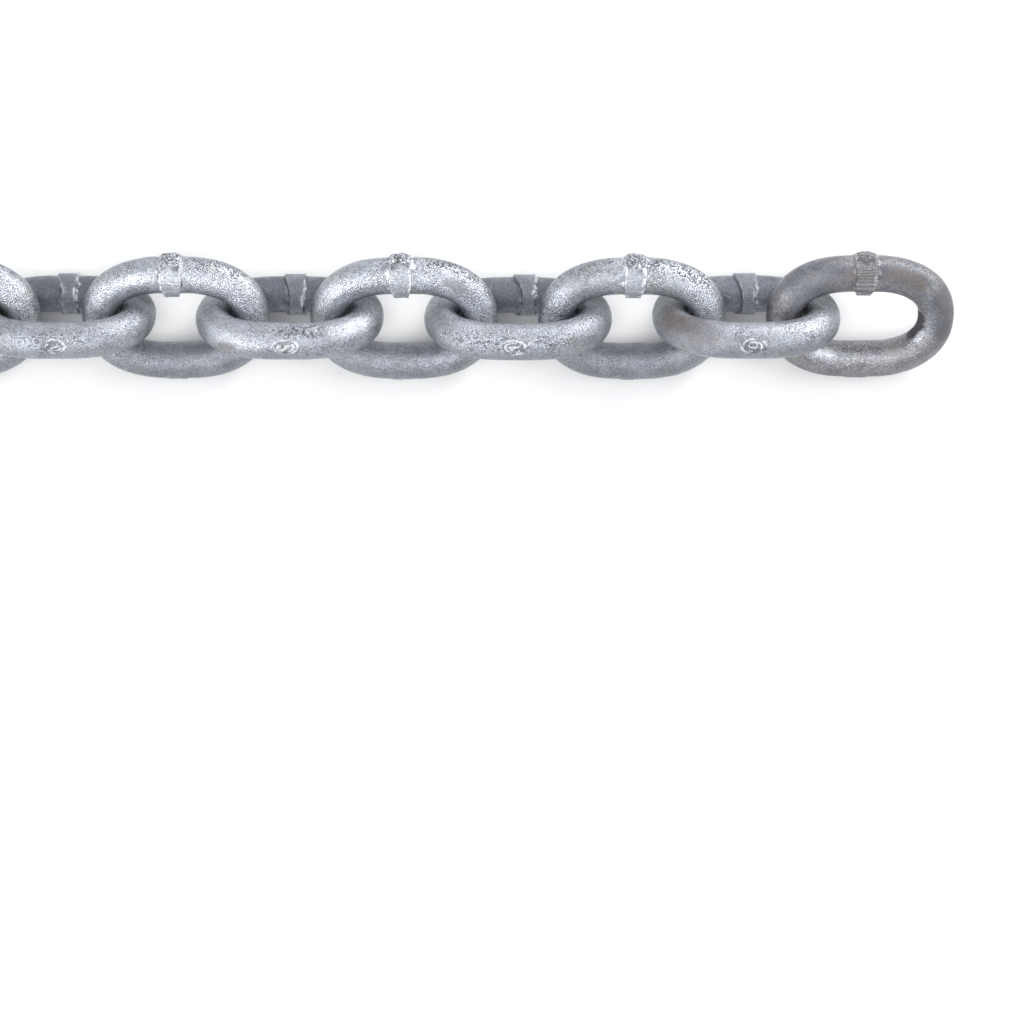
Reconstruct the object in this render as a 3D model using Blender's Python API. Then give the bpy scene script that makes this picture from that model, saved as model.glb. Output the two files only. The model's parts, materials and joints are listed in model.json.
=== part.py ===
"""A straight cut of welded short-link anchor chain, galvanised, in the 3/8 inch (10 mm) trade size.

Ten equal links lie in a row along +X. Each is a quarter turn round the chain's axis from the last,
so that all of them lean 45 degrees and rest on the floor with one leg. Metres, +Z up, origin on the
floor under the middle of the chain.
"""

import math

import bmesh
import bpy
from mathutils import Vector

# One link, as the trade tables give it. The bend draws the wire a little thinner at the crowns.
WIRE_DIAMETER = 0.0100
CROWN_DIAMETER = 0.0098
INSIDE_LENGTH = 0.0315
INSIDE_WIDTH = 0.0163
WELD_LENGTH = 0.0058
WELD_RISE = 0.0008
WELD_RAMP = 0.0006
OVAL_POWER = 2.25

# The cut of chain
LINK_COUNT = 10
SEAT_GAP = 0.0005
LEAN = math.radians(45)
QUARTER_TURN = math.radians(90)

# How far each link lies to the back of a straight line, from the left end to the right
SWAY = (0.0, 0.0, 0.0, -0.0001, -0.0002, -0.0003, -0.0004, -0.0004, 0.0, 0.0003)

# How finely a link is faceted
SECTION_SIDES = 16
CROWN_STEP = math.radians(12)

WIRE_RADIUS = WIRE_DIAMETER / 2
THINNING = (WIRE_DIAMETER - CROWN_DIAMETER) / 2
HALF_LENGTH = (INSIDE_LENGTH + CROWN_DIAMETER) / 2
HALF_WIDTH = (INSIDE_WIDTH + WIRE_DIAMETER) / 2
HALF_STRAIGHT = WELD_LENGTH / 2
CROWN_REACH = HALF_LENGTH - HALF_STRAIGHT
PITCH = INSIDE_LENGTH - SEAT_GAP

# The section is a polygon as large in area as the round wire
FACET_ANGLE = 2 * math.pi / SECTION_SIDES
CORNER_SCALE = math.sqrt(FACET_ANGLE / math.sin(FACET_ANGLE))
FLAT_SCALE = CORNER_SCALE * math.cos(FACET_ANGLE / 2)

# A link with its weld leg up rests on plain wire, and one with its weld leg down rests on the weld
AXIS_ABOVE_LEG = HALF_WIDTH * math.cos(LEAN)
AXIS_HEIGHT_ON_WIRE = AXIS_ABOVE_LEG + WIRE_RADIUS * FLAT_SCALE
AXIS_HEIGHT_ON_WELD = AXIS_ABOVE_LEG + (WIRE_RADIUS + WELD_RISE) * FLAT_SCALE

ZINC = (0.62, 0.64, 0.67)
DULL_ZINC = (0.47, 0.46, 0.47)


def crown_point(turn):
    """Place and outward direction on a crown's centreline where it faces turn, from -90 to +90 degrees.

    The crown is half of the oval |x/reach|^p + |z/width|^p = 1, set out from the end of the straight legs.
    """
    share = math.tan(abs(turn)) * HALF_WIDTH / CROWN_REACH
    angle = math.atan(share ** (OVAL_POWER / (2 * OVAL_POWER - 2)))
    along = CROWN_REACH * math.cos(angle) ** (2 / OVAL_POWER)
    across = HALF_WIDTH * math.sin(angle) ** (2 / OVAL_POWER)
    place = Vector((HALF_STRAIGHT + along, 0, math.copysign(across, turn)))
    return place, Vector((math.cos(turn), 0, math.sin(turn)))


def crown_stations():
    """Place, outward direction and radius of each ring round the right crown, from the lower leg to the upper."""
    steps = round(math.pi / CROWN_STEP)
    turns = [(step + 0.5) * CROWN_STEP - math.pi / 2 for step in range(steps)]
    rings = [(*crown_point(turn), WIRE_RADIUS - THINNING * math.cos(turn) ** 2) for turn in turns]
    foot = (Vector((HALF_STRAIGHT, 0, -HALF_WIDTH)), Vector((0, 0, -1)), WIRE_RADIUS)
    head = (Vector((HALF_STRAIGHT, 0, HALF_WIDTH)), Vector((0, 0, 1)), WIRE_RADIUS)
    return [foot, *rings, head]


def weld_stations():
    """The two raised rings of the weld, on the upper leg."""
    reach = HALF_STRAIGHT - WELD_RAMP
    up = Vector((0, 0, 1))
    return [(Vector((x, 0, HALF_WIDTH)), up, WIRE_RADIUS + WELD_RISE) for x in (reach, -reach)]


def turned_round(stations):
    """The same rings half a turn round the link's middle."""
    return [(-place, -outward, radius) for place, outward, radius in stations]


def link_mesh():
    """One link in the XZ plane, with its weld leg up and the middle of its left crown at the origin."""
    right = crown_stations()
    stations = right + weld_stations() + turned_round(right)
    to_left_crown = Vector((HALF_LENGTH, 0, 0))
    sideways = Vector((0, 1, 0))
    shape = bmesh.new()
    rings = []
    for place, outward, radius in stations:
        ring = []
        for side in range(SECTION_SIDES):
            angle = (side + 0.5) * FACET_ANGLE
            reach = outward * math.cos(angle) + sideways * math.sin(angle)
            ring.append(shape.verts.new(place + to_left_crown + reach * radius * CORNER_SCALE))
        rings.append(ring)
    for ring, following in zip(rings, rings[1:] + rings[:1]):
        for side in range(SECTION_SIDES):
            other = (side + 1) % SECTION_SIDES
            shape.faces.new((ring[side], ring[other], following[other], following[side]))
    bmesh.ops.recalc_face_normals(shape, faces=shape.faces)
    mesh = bpy.data.meshes.new("link")
    shape.to_mesh(mesh)
    shape.free()
    mesh.shade_smooth()
    mesh.set_sharp_from_angle(angle=math.radians(35))
    return mesh


def galvanised(name, colour, roughness):
    """Hot-dip zinc on steel."""
    material = bpy.data.materials.new(name)
    material.use_nodes = True
    shader = material.node_tree.nodes["Principled BSDF"]
    shader.inputs["Base Color"].default_value = (*colour, 1)
    shader.inputs["Metallic"].default_value = 0.9
    shader.inputs["Roughness"].default_value = roughness
    return material


def weld_is_up(index):
    """Every second link, counted back from the right end, has its weld leg up and at the back."""
    return (LINK_COUNT - 1 - index) % 2 == 0


def add_link(index, mesh, chain):
    """Link number index from the left, hooked through the one before it.

    Its origin is the middle of its left crown, which the last link's crown swings about.
    """
    link = bpy.data.objects.new(f"link_{index + 1:02d}", mesh.copy())
    up = weld_is_up(index)
    left_end = -(LINK_COUNT - 1) * PITCH / 2 - HALF_LENGTH
    height = AXIS_HEIGHT_ON_WIRE if up else AXIS_HEIGHT_ON_WELD
    link.location = (left_end + index * PITCH, SWAY[index], height)
    link.rotation_euler = (-LEAN if up else -LEAN - QUARTER_TURN, 0, 0)
    last = index == LINK_COUNT - 1
    colour = DULL_ZINC if last else ZINC
    roughness = 0.5 if last else 0.38
    link.data.materials.append(galvanised(f"{link.name}_zinc", colour, roughness))
    link.parent = chain
    bpy.context.scene.collection.objects.link(link)
    return link


def rest_on_origin(chain, links):
    """Moves the chain so that its box stands centred on the origin."""
    bpy.context.view_layer.update()
    corners = [link.matrix_world @ vertex.co for link in links for vertex in link.data.vertices]
    for axis in (0, 1):
        values = [corner[axis] for corner in corners]
        chain.location[axis] -= (min(values) + max(values)) / 2
    chain.location.z -= min(corner.z for corner in corners)


def main():
    for thing in list(bpy.data.objects):
        bpy.data.objects.remove(thing)
    chain = bpy.data.objects.new("chain", None)
    bpy.context.scene.collection.objects.link(chain)
    mesh = link_mesh()
    links = [add_link(index, mesh, chain) for index in range(LINK_COUNT)]
    rest_on_origin(chain, links)


main()
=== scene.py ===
"""A straight length of hot-dip galvanised short-link anchor chain, laid on a pale floor.

Each link is one closed surface worked out with numpy: a round wire carried round the link's oval, with
the weld's trimmed collar on one leg, a worn oval pad on the other, and the lumps and pits of the zinc.
Colour attributes say where a link is welded, stained, speckled and dull, where shade is painted on (the
lower legs, shaded parts of the crowns, the weld's crevices and the lines beside its beads and flash), where
the pad is darker and where a highlight is painted, and the two zinc finishes read them. Sizes are in
metres.
"""

import json
import math

import bpy
import numpy as np
from mathutils import Matrix, Vector


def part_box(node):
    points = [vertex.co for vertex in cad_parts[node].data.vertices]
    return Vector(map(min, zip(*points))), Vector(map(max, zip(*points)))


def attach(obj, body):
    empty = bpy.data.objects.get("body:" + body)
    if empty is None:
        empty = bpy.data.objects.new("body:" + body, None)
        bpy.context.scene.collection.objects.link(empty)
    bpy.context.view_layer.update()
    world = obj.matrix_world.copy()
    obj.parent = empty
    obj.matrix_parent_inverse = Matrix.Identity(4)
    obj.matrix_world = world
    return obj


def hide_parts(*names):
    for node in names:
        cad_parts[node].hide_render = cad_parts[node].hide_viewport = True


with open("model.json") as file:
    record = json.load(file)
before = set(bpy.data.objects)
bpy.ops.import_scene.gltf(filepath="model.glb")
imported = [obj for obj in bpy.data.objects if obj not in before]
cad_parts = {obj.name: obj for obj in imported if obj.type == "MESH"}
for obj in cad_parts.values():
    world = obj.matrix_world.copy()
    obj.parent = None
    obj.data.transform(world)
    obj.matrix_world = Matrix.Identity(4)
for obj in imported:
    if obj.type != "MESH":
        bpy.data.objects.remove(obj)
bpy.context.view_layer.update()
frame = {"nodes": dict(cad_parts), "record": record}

MM = 0.001

# The link's oval, as the part has it
WIRE = 4.96 * MM
CROWN_WIRE = 4.87 * MM
FLAT_RADIUS = 4.968 * MM
HALF_LENGTH = 20.65 * MM
HALF_WIDTH = 13.15 * MM
HALF_STRAIGHT = 2.9 * MM
OVAL_POWER = 2.25
LEAN = math.radians(45)
QUARTER_TURN = math.radians(90)

# The weld's collar, and the tooth that is left standing in the eye
COLLAR_HALF = 3.1 * MM
COLLAR_RISE = 0.66 * MM
COLLAR_RAMP = 0.22 * MM
COLLAR_WANDER = 0.2 * MM
TOOTH_HALF = 2.0 * MM
TOOTH_RISE = 1.0 * MM

# The beads along the collar's edges, the painted shade in the crevice, and the painted shadow line beside
# them
BEAD_WIDTH = 0.5 * MM
BEAD_RISE = 0.22 * MM
BEAD_INSET = 0.1 * MM
BEAD_WANDER = 0.7 * MM
CREVICE_WIDTH = 0.1 * MM
CREVICE_OUTSET = 0.06 * MM
BEAD_SHADOW_WIDTH = 0.3 * MM
BEAD_SHADOW_OUTSET = 0.1 * MM

# The hump of flash over the link's outside
HUMP_HALF = 3.4 * MM
HUMP_RISE = 1.0 * MM
HEAP_RISE = 0.42 * MM
FLASH_REACH = 38
FLASH_WANDER = math.radians(15)
FLASH_BORDER = math.radians(8)

# Where round the wire the weld changes, in degrees: how far from the link's outside a change starts, and
# the span over which it runs, which is negative where it runs back towards the outside
COLLAR_TO_TOOTH_PLACE = (70, 80)
COLLAR_NARROWS = (85, 75)
TOOTH_RISES = (120, 35)
HUMP_ENDS = (58, -26)

# The worn oval pad on the plain leg
PAD_HALF_LENGTH = 3.4 * MM
PAD_HALF_HEIGHT = 2.1 * MM
PAD_RISE = 0.10 * MM
PAD_RIM = 0.20 * MM
PAD_ANGLE = math.radians(-9)

# The zinc's own unevenness, and how much of it the collar and the pad take away
SWELL_SIZE = 7.0 * MM
SWELL_HEIGHT = 0.06 * MM
GRAIN_SIZE = 1.3 * MM
GRAIN_HEIGHT = 0.022 * MM
PIT_SIZE = 0.75 * MM
PIT_DEPTH = 0.065 * MM
SMOOTHED_BY_COLLAR = 0.6
SMOOTHED_BY_PAD = 0.7

# How finely a link is drawn: rings and sides, closer at the weld, at the pad and on the outside, and the
# steps in which a crown and the crowding are worked out
RINGS = 440
SIDES = 96
WELD_CROWDING = 2.4
PAD_CROWDING = 1.3
CROWDED_REACH = 5 * MM
CROWDED_RAMP = 2 * MM
OUTSIDE_REACH = math.radians(50)
OUTSIDE_RAMP = 0.5
CROWN_STEPS = 901
CROWDING_STEPS = 6001

# The random patterns: the lattice's points each way, what sets one link's patterns off from another's
# (the shift is in millimetres, for each step of the seed), and what sets the collar's two edges apart
LATTICE = 32
FIRST_SEED = 100
SEED_STEP = 7
LINK_SHIFT = 13
SIDE_SHIFT = 9 * MM

# Colours of the zinc's frost and pores, of what dulls and stains it, and of the painted highlight and
# painted shade
FROST = (0.546, 0.567, 0.609)
PORE = (0.084, 0.087, 0.098)
WARM_ZINC = (0.28, 0.269, 0.238)
# Painted highlight: brighter zinc where highlights fall and beside the contacts
PAINTED_HIGHLIGHT = (0.61, 0.63, 0.68)
# Dull zinc, and painted shade on the lower legs and the shaded parts of the crowns
DULL_AND_SHADE = (0.048, 0.054, 0.07)
DROSS = (0.035, 0.037, 0.041)
STAIN = (0.091, 0.074, 0.068)
FLUX = (0.066, 0.064, 0.062)
# Painted shade in the weld's crevices, beside its beads, along the flash's border and inside a crown, and
# the darker inside of the pad
SHADE_AND_PAD_DARK = (0.032, 0.032, 0.036)
# The bright colour of the beads and the pad's rim and ridges, on the beads partly a painted glint
BEAD_AND_GLINT = (0.63, 0.644, 0.672)

# Sizes of the patterns in the zinc's colour
CLOUD_SIZE = 6 * MM
TINT_SIZE = 5 * MM
MOTTLE_SIZE = 1.7 * MM
DROSS_SIZE = 0.65 * MM
FROST_SIZE = 0.31 * MM
GRINDING_SPACING = 0.75 * MM
BUMP_STRENGTH = 0.8
BUMP_HEIGHT = 0.26 * MM

# The two finishes: light and dark colour, base roughness, how frosted, and how ground the collars are
ZINCS = {
    "bright_zinc": ((0.308, 0.326, 0.36), (0.203, 0.213, 0.241), 0.25, 1.0, 0.15),
    "dull_zinc": ((0.21, 0.206, 0.217), (0.14, 0.136, 0.147), 0.27, 0.7, 1.0),
}

# The camera, measured from the chain's axis along the photo's own axes. The sensor is in millimetres
PHOTO_WIDTH = 1011
FOCAL_PIXELS = 2895
CAMERA_DISTANCE = 787.3 * MM
CAMERA_ELEVATION = math.radians(77.57)
CAMERA_ASIDE = 43.1 * MM
CAMERA_BELOW = 51.6 * MM
AXIS_HEIGHT = 14.66 * MM
SENSOR_WIDTH = 36.0

# Soft square lamps round the chain: azimuth and elevation in degrees, and power in watts
LAMP_DISTANCE = 1.1
LAMP_SIZE = 0.5
LAMPS = {
    "rim_right": (0, 30, 3.7),
    "rim": (45, 30, 10.2),
    "rim_back": (90, 30, 2.3),
    "left": (180, 30, 3.6),
    "left_front": (225, 30, 6.8),
    "key": (270, 66, 6.7),
}
WORLD_COLOUR = (0.93, 0.96, 1.0)
WORLD_STRENGTH = 0.87

# The pale matt floor
FLOOR_REACH = 3.0
FLOOR_COLOUR = (0.6, 0.6, 0.6)
FLOOR_ROUGHNESS = 0.9

# What most links with their weld leg down, and most of those with it up, have in common: where they are
# dull and painted darker as painted shade on the lower legs and the crowns, and the painted highlights
# beside their two contacts. LOOKS says what the numbers are.
DULL_AND_SHADE_DOWN = [(90, -140, 62, 90, 1.0), (-90, 0, 120, 200, 0.3), (15, -60, 24, 60, 1.0)]
DULL_AND_SHADE_UP = [(-90, -124, 75, 110, 0.62)]
CONTACT_HIGHLIGHTS_DOWN = [(-50, -104, 24, 18, 1.0), (-147, -97, 24, 18, 0.9)]
CONTACT_HIGHLIGHTS_UP = [(30, -122, 30, 30, 0.9), (140, -124, 26, 30, 0.9)]

# What shows on each link.
# weld: how far the collar and its tooth sit to the right of their leg's middle, in millimetres, and the
#     strength of the left and the right bead.
# flash_reach: how far from the link's outside the flash goes, in degrees, where it isn't FLASH_REACH.
# pad: how far the worn pad sits to the left of its leg's middle, in millimetres.
# The rest are soft blotches, each given as (turn, angle, reach in the two, strength), all but the strength
# in degrees. Speckled zinc is rougher and has more dross. The dull blotches also paint shade where legs
# and crowns lie in shade, the bright blotches are painted highlights, and the blotches in a hollow paint
# shade on the inside of a crown.
# The weld leg faces turn 90, the right crown 0, the plain leg -90 and the left crown 180. Angle 0 is the
# link's outside, 180 is its eye, and -90 is the flank that faces up.
LOOKS = {
    "link_01": {
        "weld": (0.3, 0.1, 0.3, 0.9),
        "pad": 0.3,
        "stains": [(-150, -50, 16, 30, 0.4)],
        "speckles": [(-80, -30, 40, 30, 0.5)],
        "dull_and_shade": DULL_AND_SHADE_DOWN,
        "painted_highlight": CONTACT_HIGHLIGHTS_DOWN + [(-50, -80, 26, 38, 0.4)],
    },
    "link_02": {
        "weld": (-0.2, 0.4, 0.8, 0.6),
        "pad": -0.2,
        "stains": [(70, -70, 12, 25, 0.4)],
        "speckles": [(80, 5, 50, 28, 0.8)],
        "dull_and_shade": DULL_AND_SHADE_UP,
        "painted_highlight": CONTACT_HIGHLIGHTS_UP + [(45, -80, 34, 44, 0.3)],
    },
    "link_03": {
        "weld": (0.6, 1.0, 0.4, 0.9),
        "pad": 0.0,
        "speckles": [(-95, -40, 40, 30, 0.5)],
        "dull_and_shade": DULL_AND_SHADE_DOWN,
        "painted_highlight": CONTACT_HIGHLIGHTS_DOWN + [(-50, -80, 26, 38, 0.4)],
    },
    "link_04": {
        "weld": (-0.4, -0.4, 0.9, 0.5),
        "pad": 0.4,
        "speckles": [(62, -5, 32, 36, 0.8), (122, -5, 26, 26, 0.6)],
        "dull_and_shade": DULL_AND_SHADE_UP,
        "painted_highlight": CONTACT_HIGHLIGHTS_UP + [
            (60, -92, 26, 40, 0.35),
            (30, -50, 24, 50, 0.25),
            (140, -50, 24, 36, 0.25),
            (104, -72, 8, 20, 0.5),
            (-70, -140, 14, 20, 0.3),
        ],
    },
    "link_05": {
        "weld": (0.9, 1.3, 0.2, 1.0),
        "pad": 0.0,
        "stains": [(-118, 5, 8, 15, 0.6)],
        "speckles": [(-88, -62, 14, 26, 0.8), (-70, 0, 30, 20, 0.4)],
        "dull_and_shade": DULL_AND_SHADE_DOWN,
        "painted_highlight": CONTACT_HIGHLIGHTS_DOWN + [
            (-44, -74, 28, 40, 0.8),
            (-125, -42, 34, 50, 0.5),
            (-75, -90, 24, 40, 0.2),
            (-104, -14, 12, 20, 0.5),
            (-64, -50, 14, 26, 0.4),
        ],
    },
    "link_06": {
        "weld": (-0.6, -0.4, 1.0, 1.0),
        "pad": 0.5,
        "stains": [(62, -75, 13, 22, 0.5)],
        "speckles": [(58, -5, 36, 38, 0.9), (128, -5, 14, 20, 0.4)],
        "dull_and_shade": [(-90, -124, 75, 110, 0.52)],
        "painted_highlight": CONTACT_HIGHLIGHTS_UP + [
            (45, -70, 36, 50, 0.1),
            (30, -15, 26, 28, 0.35),
            (68, -105, 10, 25, 0.3),
            (140, -50, 26, 36, 0.3),
        ],
    },
    "link_07": {
        "weld": (1.8, 2.9, 0.25, 1.0),
        "pad": 1.3,
        "stains": [(-58, -8, 16, 26, 0.35)],
        "speckles": [(-90, -25, 50, 22, 0.6)],
        "dull_and_shade": DULL_AND_SHADE_DOWN + [(-90, 40, 50, 34, 0.5), (-86, -54, 7, 26, 0.35)],
        "painted_highlight": CONTACT_HIGHLIGHTS_DOWN + [
            (-50, -90, 26, 38, 0.35),
            (-116, -68, 16, 34, 0.6),
            (-104, -44, 9, 20, 0.35),
        ],
    },
    "link_08": {
        "weld": (0.5, 0.0, 0.7, 0.9),
        "pad": 0.0,
        "stains": [(118, -90, 18, 30, 0.3), (-124, -104, 12, 24, 0.3)],
        "speckles": [(60, -12, 40, 40, 1.0), (122, 0, 26, 30, 0.6)],
        "dull_and_shade": DULL_AND_SHADE_UP + [(100, -50, 34, 44, 0.22)],
        "painted_highlight": CONTACT_HIGHLIGHTS_UP + [
            (40, -14, 26, 28, 0.4),
            (55, -105, 12, 25, 0.35),
            (150, -105, 20, 30, 0.3),
            (45, -66, 24, 34, 0.45),
            (74, -40, 12, 22, 0.3),
        ],
    },
    "link_09": {
        "weld": (0.3, 1.2, 0.1, 0.8),
        "pad": -0.8,
        "stains": [
            (-140, -62, 28, 48, 1.0),
            (-122, -75, 18, 34, 0.65),
            (-118, -50, 18, 30, 0.45),
            (-110, -26, 14, 18, 0.5),
        ],
        "speckles": [(-60, -40, 24, 26, 0.5)],
        "dull_and_shade": [
            (90, -140, 62, 90, 0.93),
            (-130, -40, 60, 66, 0.6),
            (15, -60, 24, 60, 1.0),
            (-60, 25, 60, 34, 0.6),
            (170, -40, 20, 60, 0.7),
        ],
        "painted_highlight": [
            (-42, -108, 24, 34, 0.5),
            (-60, -70, 24, 34, 0.3),
            (-50, -104, 24, 18, 1.0),
            (-147, -97, 24, 18, 0.7),
        ],
    },
    "link_10": {
        "weld": (0.5, 0.2, 0.25, 0.3),
        "flash_reach": 20,
        "pad": 0.2,
        "stains": [
            (75, -68, 26, 28, 0.75),
            (25, -62, 22, 18, 0.5),
            (10, -40, 40, 44, 0.4),
            (-48, -105, 30, 40, 0.3),
        ],
        "speckles": [(100, 0, 40, 40, 0.4)],
        "dull_and_shade": [
            (115, -56, 40, 80, 0.7),
            (60, -56, 80, 100, 0.5),
            (14, -60, 44, 60, 0.9),
            (76, -56, 32, 38, 0.95),
            (-90, -35, 50, 22, 0.4),
        ],
        "painted_highlight": [
            (140, -124, 26, 30, 0.6),
            (-110, -130, 14, 26, 0.8),
            (-95, -118, 30, 16, 0.1),
            (-34, -138, 18, 13, 0.75),
        ],
        # Painted shade on the inside of the right crown
        "crown_shade": [(0, -160, 20, 30, 1.0), (-18, -164, 18, 28, 1.0), (-38, -168, 16, 28, 1.0)],
    },
}


def ease(value):
    """Runs from 0 to 1 as value does, flat at both ends: t * t * (3 - 2 * t)."""
    t = np.clip(value, 0, 1)
    return t * t * (3 - 2 * t)


def past(angle, start, span):
    """Runs from 0 to 1 as the angle goes from start on by span, both in degrees."""
    return ease((angle - math.radians(start)) / math.radians(span))


def bell(distance, width):
    """1 at distance 0, falling off on both sides: exp(-(distance / width)^2)."""
    return np.exp(-((distance / width) ** 2))


def broken(pattern, share, contrast):
    """0 to 1, eased: more of it is left with a larger share, cut off more sharply with more contrast."""
    return ease(share + contrast * pattern)


def lumps(points, size, seed):
    """Smooth numbers from -1 to 1 in space, with features of that size.

    Random numbers sit on a cubic lattice, and between them each axis is blended with the ease curve.
    """
    table = np.random.default_rng(seed).uniform(-1, 1, (LATTICE, LATTICE, LATTICE))
    cell = np.floor(points / size).astype(int)
    share = ease(points / size - cell)
    total = np.zeros(points.shape[:-1])
    for corner in np.ndindex(2, 2, 2):
        index = (cell + corner) % LATTICE
        weight = np.where(corner, share, 1 - share).prod(axis=-1)
        total += weight * table[index[..., 0], index[..., 1], index[..., 2]]
    return total


def rough(points, size, seed, layers=3):
    """Lumps with finer lumps on them: each layer has half the size and half the height of the last."""
    return sum(lumps(points, size / 2**layer, seed + layer) / 2**layer for layer in range(layers))


def oval(turn):
    """Place (along, across) on the right crown's centreline where its outside faces turn.

    The crown is half of |x/reach|^p + |z/width|^p = 1, set out from the end of the straight legs.
    """
    reach = HALF_LENGTH - HALF_STRAIGHT
    share = np.tan(np.abs(turn)) * HALF_WIDTH / reach
    angle = np.arctan(share ** (OVAL_POWER / (2 * OVAL_POWER - 2)))
    along = HALF_STRAIGHT + reach * np.cos(angle) ** (2 / OVAL_POWER)
    across = HALF_WIDTH * np.sign(turn) * np.sin(angle) ** (2 / OVAL_POWER)
    return along, across


def centreline():
    """Place, outward turn and arc length along the oval, from the weld round by the right crown and back.

    The left crown is the right one turned half round, so its turns run half a circle further on.
    """
    right = np.linspace(QUARTER_TURN, -QUARTER_TURN, CROWN_STEPS)
    x, z = oval(right)
    x = np.concatenate(([0], x, -x, [0]))
    z = np.concatenate(([HALF_WIDTH], z, -z, [HALF_WIDTH]))
    turn = np.concatenate(([QUARTER_TURN], right, right - math.pi, [-3 * QUARTER_TURN]))
    length = np.concatenate(([0], np.cumsum(np.hypot(np.diff(x), np.diff(z)))))
    return x, z, turn, length


def crowded(low, high, count, crowding):
    """Count numbers from low up to high, set closer together where crowding(number) is larger."""
    fine = np.linspace(low, high, CROWDING_STEPS)
    weight = crowding((fine[1:] + fine[:-1]) / 2)
    filled = np.concatenate(([0], np.cumsum(weight)))
    return np.interp(np.arange(count) / count * filled[-1], filled, fine)


def collar(along, angle, points, seed, weld, flash_reach):
    """Rise of the weld, and how much of each place is collar, bead, rough flash and painted shade.

    The collar is a band of even rise with ramps at both edges. Towards the eye it narrows to a tooth
    that stands higher. A broken, wandering bead lies along each edge, with painted shade in the crevice
    at the collar's foot and a painted shadow line outside it. Over the link's outside the band turns
    into a hump of unground flash, 1 - (along/half)^2 high, with heaps on it and a painted shadow along
    its torn border. LOOKS says what the numbers in weld and flash_reach are.
    """
    collar_place, tooth_place, left_bead, right_bead = weld
    aside = np.abs(angle)
    leaning = past(aside, *COLLAR_TO_TOOTH_PLACE)
    along = along - MM * (collar_place + (tooth_place - collar_place) * leaning)
    narrowing = past(aside, *COLLAR_NARROWS)
    side = np.sign(along)[..., None] * SIDE_SHIFT
    wander = COLLAR_WANDER * rough(points * (1, 0.6, 0.6) + side, 2.2 * MM, seed)
    half = COLLAR_HALF + (TOOTH_HALF - COLLAR_HALF) * narrowing + wander
    inward = half - np.abs(along)
    body = ease(inward / COLLAR_RAMP)
    tooth = past(aside, *TOOTH_RISES)
    band = body * (COLLAR_RISE + (TOOTH_RISE - COLLAR_RISE) * tooth)

    border = math.radians(flash_reach) + FLASH_WANDER * rough(points, 2.4 * MM, seed + 15, layers=2)
    middle = np.clip(1 - (along / HUMP_HALF) ** 2, 0, 1)
    on_hump = ease((middle - 0.25) / 0.3)
    flash = ease((border - aside) / FLASH_BORDER) * on_hump
    outer = past(aside, *HUMP_ENDS)
    heap = rough(points, 1.7 * MM, seed + 21)
    hump = HUMP_RISE * middle + HEAP_RISE * flash * heap

    strength = np.where(along < 0, left_bead, right_bead)
    left_standing = broken(rough(points + side, 1.0 * MM, seed + 11, layers=2), 0.6, 1.5) * strength
    zigzag = BEAD_WANDER * rough(points + side, 1.3 * MM, seed + 13, layers=2)
    edge = bell(inward - BEAD_INSET + zigzag, BEAD_WIDTH) * left_standing * (1 - flash)
    rise = band * (1 - outer) + hump * outer + BEAD_RISE * edge

    # Painted shade: the crevice at the collar's foot is painted darker
    painted_shade = bell(inward + CREVICE_OUTSET, CREVICE_WIDTH) * (1 - outer) * (1 - edge)
    # Painted shadow: a dark line just outside each bead
    bead_shadow = bell(inward + BEAD_SHADOW_OUTSET + zigzag + BEAD_WIDTH, BEAD_SHADOW_WIDTH) * strength
    bead_shadow = bead_shadow * broken(lumps(points + side, 0.9 * MM, seed + 17), 0.2, 1.6) * (1 - flash)
    # Painted shadow along the torn border of the flash
    torn = bell(border - aside, FLASH_BORDER) * on_hump
    torn = torn * broken(lumps(points, 2.0 * MM, seed + 19), 0.75, 1.0)
    weld_shade = np.maximum(np.maximum(0.6 * painted_shade, torn), 0.8 * bead_shadow)
    return rise, body * (1 - flash), edge, flash, weld_shade


def pad(along, angle, points, seed):
    """Rise of the worn oval pad, and how much of each place is pad, bright rim or ridge, and darker pad
    between them.

    It is a low step with a broken rim and a broken ring inside it, at 0.92 and 0.62 of the oval's size,
    and in its middle a ridge runs where a pattern of lumps crosses zero.
    """
    across = (angle - PAD_ANGLE) * WIRE
    torn = 0.09 * lumps(points, 1.1 * MM, seed + 33)
    out = np.hypot(along / PAD_HALF_LENGTH, across / PAD_HALF_HEIGHT) + torn
    step = ease((1.08 - out) / 0.16)
    rim = bell(out - 0.92, 0.09) * broken(lumps(points, 1.3 * MM, seed + 31), 0.62, 1.1)
    ring = bell(out - 0.62, 0.08) * broken(lumps(points, 1.0 * MM, seed + 34), 0.5, 1.4)
    ridges = ring + bell(lumps(points, 1.2 * MM, seed + 32), 0.2) * ease((0.55 - out) / 0.15)
    rise = PAD_RISE * step + PAD_RIM * (rim + 0.8 * ridges)
    bright = np.clip(0.85 * rim + 0.7 * ridges, 0, 1)
    return rise, step, bright, step * np.clip(1 - rim - ridges, 0, 1)


def zinc_skin(points, seed, speckle):
    """Rise of the zinc: long swells, grains and pits, the last two stronger where the speckle is.

    A pit is where one more pattern of lumps runs over its brim, at 0.4 of its height.
    """
    swell = SWELL_HEIGHT * rough(points, SWELL_SIZE, seed + 41, layers=2)
    grain = GRAIN_HEIGHT * (0.6 + 0.8 * speckle) * rough(points, GRAIN_SIZE, seed + 51)
    spread = ease(0.35 + 0.9 * lumps(points, 8 * MM, seed + 61) + 0.5 * speckle)
    pits = PIT_DEPTH * spread * ease((lumps(points, PIT_SIZE, seed + 71) - 0.4) / 0.35)
    return swell + grain - pits


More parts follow.
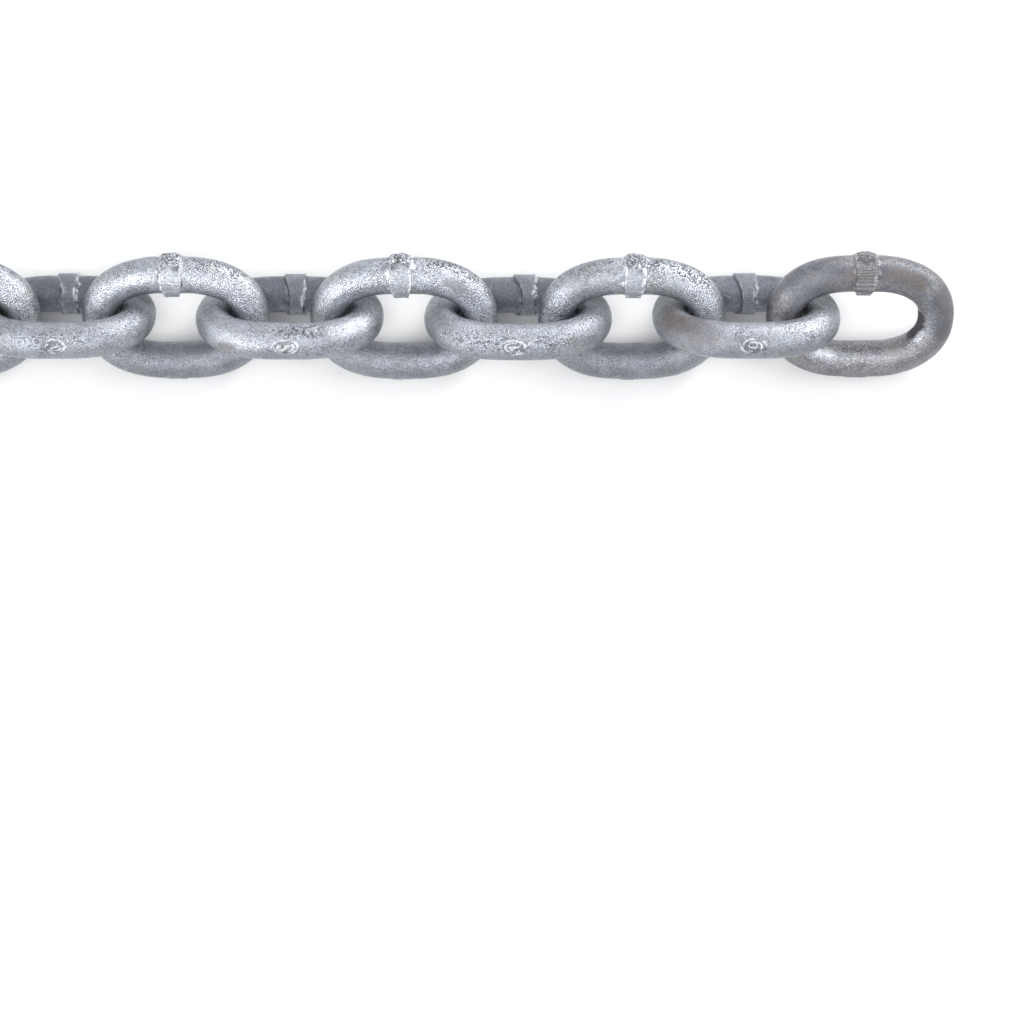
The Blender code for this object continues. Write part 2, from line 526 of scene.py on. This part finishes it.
def patches(spots, turn, angle, points, seed, tearing):
    """Strength from 0 to 1 of soft blotches, each given as (turn, angle, reach in the two, strength).

    A blotch falls off with the square of the distance in both angles. Lumps break up its rim, more so
    with more tearing, and where blotches overlap the stronger one counts.
    """
    total = np.zeros(points.shape[:-1])
    firmness = 1.1 + tearing * rough(points, 3.2 * MM, seed + 81)
    for spot_turn, spot_angle, turn_reach, angle_reach, strength in spots:
        off_turn = (np.degrees(turn) - spot_turn + 180) % 360 - 180
        off_angle = (np.degrees(angle) - spot_angle + 180) % 360 - 180
        out = (off_turn / turn_reach) ** 2 + (off_angle / angle_reach) ** 2
        total = np.maximum(total, strength * ease(np.exp(-out) * firmness))
    return np.clip(total, 0, 1)


def link_place(node, weld_up):
    """The middle of the link: its plain leg lies against its box's front, at the bottom or at the top."""
    low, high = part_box(node)
    leg_to_axis = HALF_WIDTH * math.cos(LEAN) + FLAT_RADIUS
    height = low.z + leg_to_axis if weld_up else high.z - leg_to_axis
    return np.array([(low.x + high.x) / 2, low.y + leg_to_axis, height])


def link_grid(turns, length):
    """Arc length and turn of every ring, each as a column, and angle of every side, as a row."""
    whole = length[-1]

    def ring_crowding(arc):
        """Rings stand closer at the weld, where the arc starts and ends, and at the pad, half way."""
        at_weld = ease((CROWDED_REACH - np.minimum(arc, whole - arc)) / CROWDED_RAMP)
        at_pad = ease((CROWDED_REACH - np.abs(arc - whole / 2)) / CROWDED_RAMP)
        return 1 + WELD_CROWDING * at_weld + PAD_CROWDING * at_pad

    def side_crowding(angle):
        """Sides stand closer on the link's outside, at angle 0."""
        return 1 + ease((OUTSIDE_REACH - np.abs(angle)) / OUTSIDE_RAMP)

    arc = crowded(0, whole, RINGS, ring_crowding)[:, None]
    angle = crowded(-math.pi, math.pi, SIDES, side_crowding)[None, :]
    return arc, np.interp(arc, length, turns), angle


def channels(red, green, blue):
    """Three grids of numbers as one grid of opaque colours."""
    return np.stack([red, green, blue, np.ones_like(red)], axis=-1)


def link_surface(node, weld_up, seed, look):
    """The link's mesh: place + outward * (r + rise) * cos(angle) + sideways * (r + rise) * sin(angle).

    The two parameters are the arc length along the oval and the angle round the wire, 0 at the link's
    outside. The wire is a little thinner at the crowns, as cos(turn)^2.
    """
    x, z, turns, length = centreline()
    arc, turn, angle = link_grid(turns, length)
    whole = length[-1]
    middle_x = np.interp(arc, length, x)
    middle_z = np.interp(arc, length, z)
    wire = WIRE - (WIRE - CROWN_WIRE) * np.cos(turn) ** 2

    def carried(radius):
        """Local points at that distance from the wire's middle."""
        out = radius * np.cos(angle)
        sideways = radius * np.sin(angle) + 0 * turn
        parts = (middle_x + np.cos(turn) * out, sideways, middle_z + np.sin(turn) * out)
        return np.stack(np.broadcast_arrays(*parts), axis=-1)

    points = carried(wire) + seed * LINK_SHIFT * MM
    angles = angle + 0 * arc

    def blotches(kind, offset, tearing):
        """How much of each place has that kind of blotch, which a link may have none of."""
        return patches(look.get(kind, ()), turn, angles, points, seed + offset, tearing)

    stain = blotches("stains", 0, 0.7)
    speckle = blotches("speckles", 5, 0.9)
    # Dull zinc, and painted shade: the lower legs and the shaded parts of the crowns are painted darker
    dull_and_shade = blotches("dull_and_shade", 9, 0.3)
    # Painted highlights, also beside the contacts
    painted_highlight = blotches("painted_highlight", 13, 0.3)

    from_weld = np.where(arc > whole / 2, arc - whole, arc) + 0 * angle
    flash_reach = look.get("flash_reach", FLASH_REACH)
    weld_rise, collar_share, edge, flash, painted_shade = collar(
        from_weld, angles, points, seed, look["weld"], flash_reach)
    from_pad = arc - whole / 2 - MM * look["pad"]
    pad_rise, pad_share, rim, pad_darkened = pad(from_pad, angles, points, seed)
    skin = zinc_skin(points, seed, speckle)
    skin = skin * (1 - SMOOTHED_BY_COLLAR * collar_share) * (1 - SMOOTHED_BY_PAD * pad_share)
    # Painted shade on the inside of a crown
    crown_shade = ease((blotches("crown_shade", 17, 0.6) - 0.35) / 0.3)
    crown_shade = crown_shade * (0.95 + 0.25 * lumps(points, 0.8 * MM, seed + 23))

    local = carried(wire + weld_rise + pad_rise + skin)
    roll = -LEAN if weld_up else -LEAN - QUARTER_TURN
    turned = local @ np.array(Matrix.Rotation(roll, 3, "X")).T
    places = turned + link_place(node, weld_up)
    places[..., 2] = np.maximum(places[..., 2], 0)
    # The third attribute holds the painted shade, the darker pad and the painted highlights
    return places, {
        "weld_marks": channels(collar_share, np.maximum(edge, rim), flash),
        "weather_and_shade": channels(stain, speckle, dull_and_shade),
        "painted_shade_and_light": channels(np.maximum(painted_shade, 1.5 * crown_shade), pad_darkened, painted_highlight),
    }


def tube_mesh(name, places, attributes):
    """A closed mesh of four-sided faces on a grid that joins up in both directions."""
    rings, sides = places.shape[:2]
    ring, side = np.meshgrid(np.arange(rings), np.arange(sides), indexing="ij")
    here = ring * sides
    ahead = (ring + 1) % rings * sides
    next_side = (side + 1) % sides
    corners = [here + side, ahead + side, ahead + next_side, here + next_side]
    faces = np.stack(corners, axis=-1).reshape(-1, 4)
    mesh = bpy.data.meshes.new(name)
    mesh.vertices.add(rings * sides)
    mesh.vertices.foreach_set("co", places.reshape(-1).astype(np.float32))
    mesh.loops.add(faces.size)
    mesh.loops.foreach_set("vertex_index", faces.reshape(-1).astype(np.int32))
    mesh.polygons.add(len(faces))
    mesh.polygons.foreach_set("loop_start", np.arange(0, faces.size, 4, dtype=np.int32))
    mesh.update(calc_edges=True)
    for label, values in attributes.items():
        layer = mesh.attributes.new(label, "FLOAT_COLOR", "POINT")
        layer.data.foreach_set("color", values.reshape(-1).astype(np.float32))
    mesh.shade_smooth()
    return mesh


class Socket:
    """One output of a shader node, on which sums are written as if it were a number."""

    def __init__(self, finish, output):
        self.finish = finish
        self.output = output

    def maths(self, operation, first, second):
        """A node that works out one operation on two sockets or numbers."""
        return self.finish.node("ShaderNodeMath", {"operation": operation}, {0: first, 1: second})

    def __add__(self, other):
        return self.maths("ADD", self, other)

    def __radd__(self, other):
        return self.maths("ADD", other, self)

    def __sub__(self, other):
        return self.maths("SUBTRACT", self, other)

    def __rsub__(self, other):
        return self.maths("SUBTRACT", other, self)

    def __mul__(self, other):
        return self.maths("MULTIPLY", self, other)

    def __rmul__(self, other):
        return self.maths("MULTIPLY", other, self)


class Finish:
    """A material that is built up node by node."""

    def __init__(self, name):
        self.material = bpy.data.materials.new(name)
        self.material.use_nodes = True
        self.tree = self.material.node_tree
        self.shader = self.tree.nodes["Principled BSDF"]

    def node(self, kind, settings, sockets, output=0):
        """Adds a node, sets it up, feeds its inputs with values or sockets, and gives one output."""
        node = self.tree.nodes.new(kind)
        for key, value in settings.items():
            setattr(node, key, value)
        self.feed(node, sockets)
        return Socket(self, node.outputs[output])

    def feed(self, node, sockets):
        """Links a socket to its input, and sets a number or a colour on it."""
        for key, value in sockets.items():
            if isinstance(value, Socket):
                self.tree.links.new(value.output, node.inputs[key])
            elif isinstance(value, tuple):
                size = len(node.inputs[key].default_value)
                node.inputs[key].default_value = (*value, 1)[:size]
            else:
                node.inputs[key].default_value = value

    def place(self):
        """Object coordinates."""
        return self.node("ShaderNodeTexCoord", {}, {}, "Object")

    def noise(self, place, size, detail, roughness):
        """Noise from 0 to 1 with features of that size in metres."""
        sockets = {"Vector": place, "Scale": 1 / size, "Detail": detail, "Roughness": roughness}
        return self.node("ShaderNodeTexNoise", {}, sockets, "Fac")

    def bands(self, place, spacing):
        """Wandering bands across Y, 0 to 1. At a scale of 1 the node sets them pi / 10 apart."""
        settings = {"wave_type": "BANDS", "bands_direction": "Y"}
        sockets = {"Vector": place, "Scale": math.pi / 10 / spacing, "Distortion": 2.5, "Detail": 2.0,
                   "Detail Scale": 0.4}
        return self.node("ShaderNodeTexWave", settings, sockets, "Fac")

    def between(self, value, low, high):
        """0 at low, 1 at high, eased."""
        settings = {"interpolation_type": "SMOOTHSTEP"}
        return self.node("ShaderNodeMapRange", settings, {0: value, 1: low, 2: high, 3: 0.0, 4: 1.0})

    def mix(self, share, low, high):
        """Blends two colours. The node's colour sockets are numbers 6 and 7, and its colour output is 2."""
        return self.node("ShaderNodeMix", {"data_type": "RGBA"}, {0: share, 6: low, 7: high}, 2)

    def painted(self, name):
        """The three channels of a colour attribute."""
        colour = self.node("ShaderNodeAttribute", {"attribute_name": name}, {}, "Color")
        red = self.node("ShaderNodeSeparateColor", {}, {0: colour})
        return [Socket(self, output) for output in red.output.node.outputs]


def galvanised(name, light, dark, base_roughness, frosting, ground):
    """Hot-dip zinc: mottled blue-grey, frosted with fine crystals, speckled with dross and stained.

    The noises give the texture, and the link's attributes say where it is welded, stained and dull, where
    shade and highlights are painted on, and where its pad is darker. A dull place, and the shade painted
    with it, has less frost. The more the collar is ground, the more its grinding marks show and the less of
    the dull darkening and painted shade it keeps.
    """
    finish = Finish(name)
    place = finish.place()
    collar_share, edge, flash = finish.painted("weld_marks")
    stain, speckle, dull_and_shade = finish.painted("weather_and_shade")
    painted_shade, pad_darkened, painted_highlight = finish.painted("painted_shade_and_light")
    cloud = finish.noise(place, CLOUD_SIZE, 3, 0.5)
    mottle = finish.noise(place, MOTTLE_SIZE, 3, 0.6)
    frost = finish.noise(place, FROST_SIZE, 1, 0.5)
    dross = finish.noise(place, DROSS_SIZE, 2, 0.6)
    tint = finish.noise(place, TINT_SIZE, 2, 0.5)
    grinding = finish.bands(place, GRINDING_SPACING) * collar_share

    # The bare zinc: cloudy, warmer in places, brighter where it was ground and where a highlight is
    # painted, darker where dull and where shade is painted
    zinc = finish.mix(finish.between(cloud * 0.6 + mottle * 0.4, 0.36, 0.64), dark, light)
    zinc = finish.mix(finish.between(tint, 0.5, 0.66) * 0.42, zinc, WARM_ZINC)
    zinc = finish.mix(collar_share * 0.4, zinc, light)
    # Painted highlights
    zinc = finish.mix(painted_highlight * 0.85, zinc, PAINTED_HIGHLIGHT)
    dull_and_shade = dull_and_shade * (1 - 0.5 * ground * collar_share)
    # Dull zinc, and painted shade on the lower legs and the shaded crowns
    zinc = finish.mix(dull_and_shade * 0.9, zinc, DULL_AND_SHADE)

    # Its crystals, bright and dark, and specks of dross
    frosting = frosting * (1 - 0.8 * dull_and_shade)
    crystals = frost + 0.12 * mottle
    bright_share = finish.between(crystals, 0.55, 0.64) * (0.42 + 0.1 * speckle) * frosting
    zinc = finish.mix(bright_share, zinc, FROST)
    zinc = finish.mix(finish.between(crystals, 0.53, 0.41) * 0.42 * frosting, zinc, PORE)
    specks = finish.between(dross + speckle * 0.11, 0.60, 0.65) * (0.3 + speckle * 0.65)
    zinc = finish.mix(specks, zinc, DROSS)

    # Stains, the marks of grinding, the flash, the painted shade and the darker pad, and the beads and
    # ridges, with a painted glint on the beads, on top of it all
    zinc = finish.mix(stain * finish.between(mottle, 0.15, 0.5), zinc, STAIN)
    scratches = collar_share * finish.between(grinding, 0.3, 0.1) * ground * 0.35
    zinc = finish.mix(scratches, zinc, DROSS)
    zinc = finish.mix(flash * finish.between(dross, 0.46, 0.38) * frosting * 0.6, zinc, FROST)
    zinc = finish.mix(flash * finish.between(dross, 0.47, 0.55) * 0.85, zinc, FLUX)
    # Painted shade in the weld's crevices, beside its beads, along the flash's border and inside a crown,
    # and the darker pad
    zinc = finish.mix(painted_shade * 0.75 + pad_darkened * 0.5, zinc, SHADE_AND_PAD_DARK)
    # The beads, with a painted glint
    zinc = finish.mix(edge * 0.9 * (1 - 0.2 * dull_and_shade), zinc, BEAD_AND_GLINT)

    roughness = base_roughness + 0.22 * (cloud - 0.5) + 0.1 * specks + 0.16 * dull_and_shade + 0.12 * stain
    roughness = roughness + 0.1 * flash + 0.35 * painted_shade - 0.05 * edge - 0.05 * painted_highlight
    metallic = 0.88 - 0.4 * dull_and_shade - 0.3 * stain - 0.3 * flash - 0.25 * collar_share - 0.5 * painted_shade
    height = frost * 1.0 + mottle * 0.15 + dross * (0.12 + 0.9 * flash + 0.3 * speckle) - specks * 0.5
    height = height + ground * grinding
    sockets = {"Strength": BUMP_STRENGTH, "Distance": BUMP_HEIGHT, "Height": height}
    bump = finish.node("ShaderNodeBump", {}, sockets, "Normal")
    sockets = {"Base Color": zinc, "Roughness": roughness, "Metallic": metallic, "Normal": bump}
    finish.feed(finish.shader, sockets)
    return finish.material


def floor_finish():
    """Plain pale matt."""
    finish = Finish("floor_matt")
    finish.feed(finish.shader, {"Base Color": FLOOR_COLOUR, "Roughness": FLOOR_ROUGHNESS})
    return finish.material


def add_links():
    """One fine link over each of the part's links, on its body. Every second one has its weld leg up."""
    zinc = {name: galvanised(name, *values) for name, values in ZINCS.items()}
    slots = {piece["node"]: piece["material_slot"] for piece in frame["record"]["subparts"]}
    nodes = sorted(frame["nodes"])
    for index, node in enumerate(nodes):
        weld_up = (len(nodes) - 1 - index) % 2 == 0
        places, attributes = link_surface(node, weld_up, FIRST_SEED + SEED_STEP * index, LOOKS[node])
        link = bpy.data.objects.new(f"{node}_fine", tube_mesh(f"{node}_fine", places, attributes))
        bpy.context.scene.collection.objects.link(link)
        link.data.materials.append(zinc[slots[node]])
        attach(link, node)
        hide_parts(node)


def add_floor():
    """A square floor at the height of zero."""
    mesh = bpy.data.meshes.new("floor")
    corners = [(x * FLOOR_REACH, y * FLOOR_REACH, 0) for x, y in ((-1, -1), (1, -1), (1, 1), (-1, 1))]
    mesh.from_pydata(corners, [], [(0, 1, 2, 3)])
    floor = bpy.data.objects.new("floor", mesh)
    floor.data.materials.append(floor_finish())
    bpy.context.scene.collection.objects.link(floor)


def add_lamp(name, place, power):
    """A square soft light that faces the chain."""
    light = bpy.data.lights.new(name, "AREA")
    light.size = LAMP_SIZE
    light.energy = power
    lamp = bpy.data.objects.new(name, light)
    lamp.location = place
    lamp.rotation_euler = (-Vector(place)).to_track_quat("-Z", "Y").to_euler()
    bpy.context.scene.collection.objects.link(lamp)


def add_lights():
    """A pale sky all round, and the lamps."""
    world = bpy.data.worlds.new("studio")
    world.use_nodes = True
    sky = world.node_tree.nodes["Background"]
    sky.inputs["Color"].default_value = (*WORLD_COLOUR, 1)
    sky.inputs["Strength"].default_value = WORLD_STRENGTH
    bpy.context.scene.world = world
    for name, (azimuth, elevation, power) in LAMPS.items():
        level = math.cos(math.radians(elevation))
        toward = (level * math.cos(math.radians(azimuth)), level * math.sin(math.radians(azimuth)),
                  math.sin(math.radians(elevation)))
        add_lamp(name, [LAMP_DISTANCE * share for share in toward], power)
    bpy.context.scene.view_settings.view_transform = "Standard"


def add_camera():
    """Square on to the chain and steeply from above: aside, below and away are the photo's own axes."""
    lens = bpy.data.cameras.new("camera")
    lens.sensor_width = SENSOR_WIDTH
    lens.lens = SENSOR_WIDTH * FOCAL_PIXELS / PHOTO_WIDTH
    camera = bpy.data.objects.new("camera", lens)
    up = Vector((0, math.sin(CAMERA_ELEVATION), math.cos(CAMERA_ELEVATION)))
    away = Vector((0, -math.cos(CAMERA_ELEVATION), math.sin(CAMERA_ELEVATION)))
    aim = Vector((CAMERA_ASIDE, 0, AXIS_HEIGHT)) - CAMERA_BELOW * up
    camera.location = aim + CAMERA_DISTANCE * away
    camera.rotation_euler = (QUARTER_TURN - CAMERA_ELEVATION, 0, 0)
    bpy.context.scene.collection.objects.link(camera)
    bpy.context.scene.camera = camera


add_camera()
add_floor()
add_lights()
add_links()
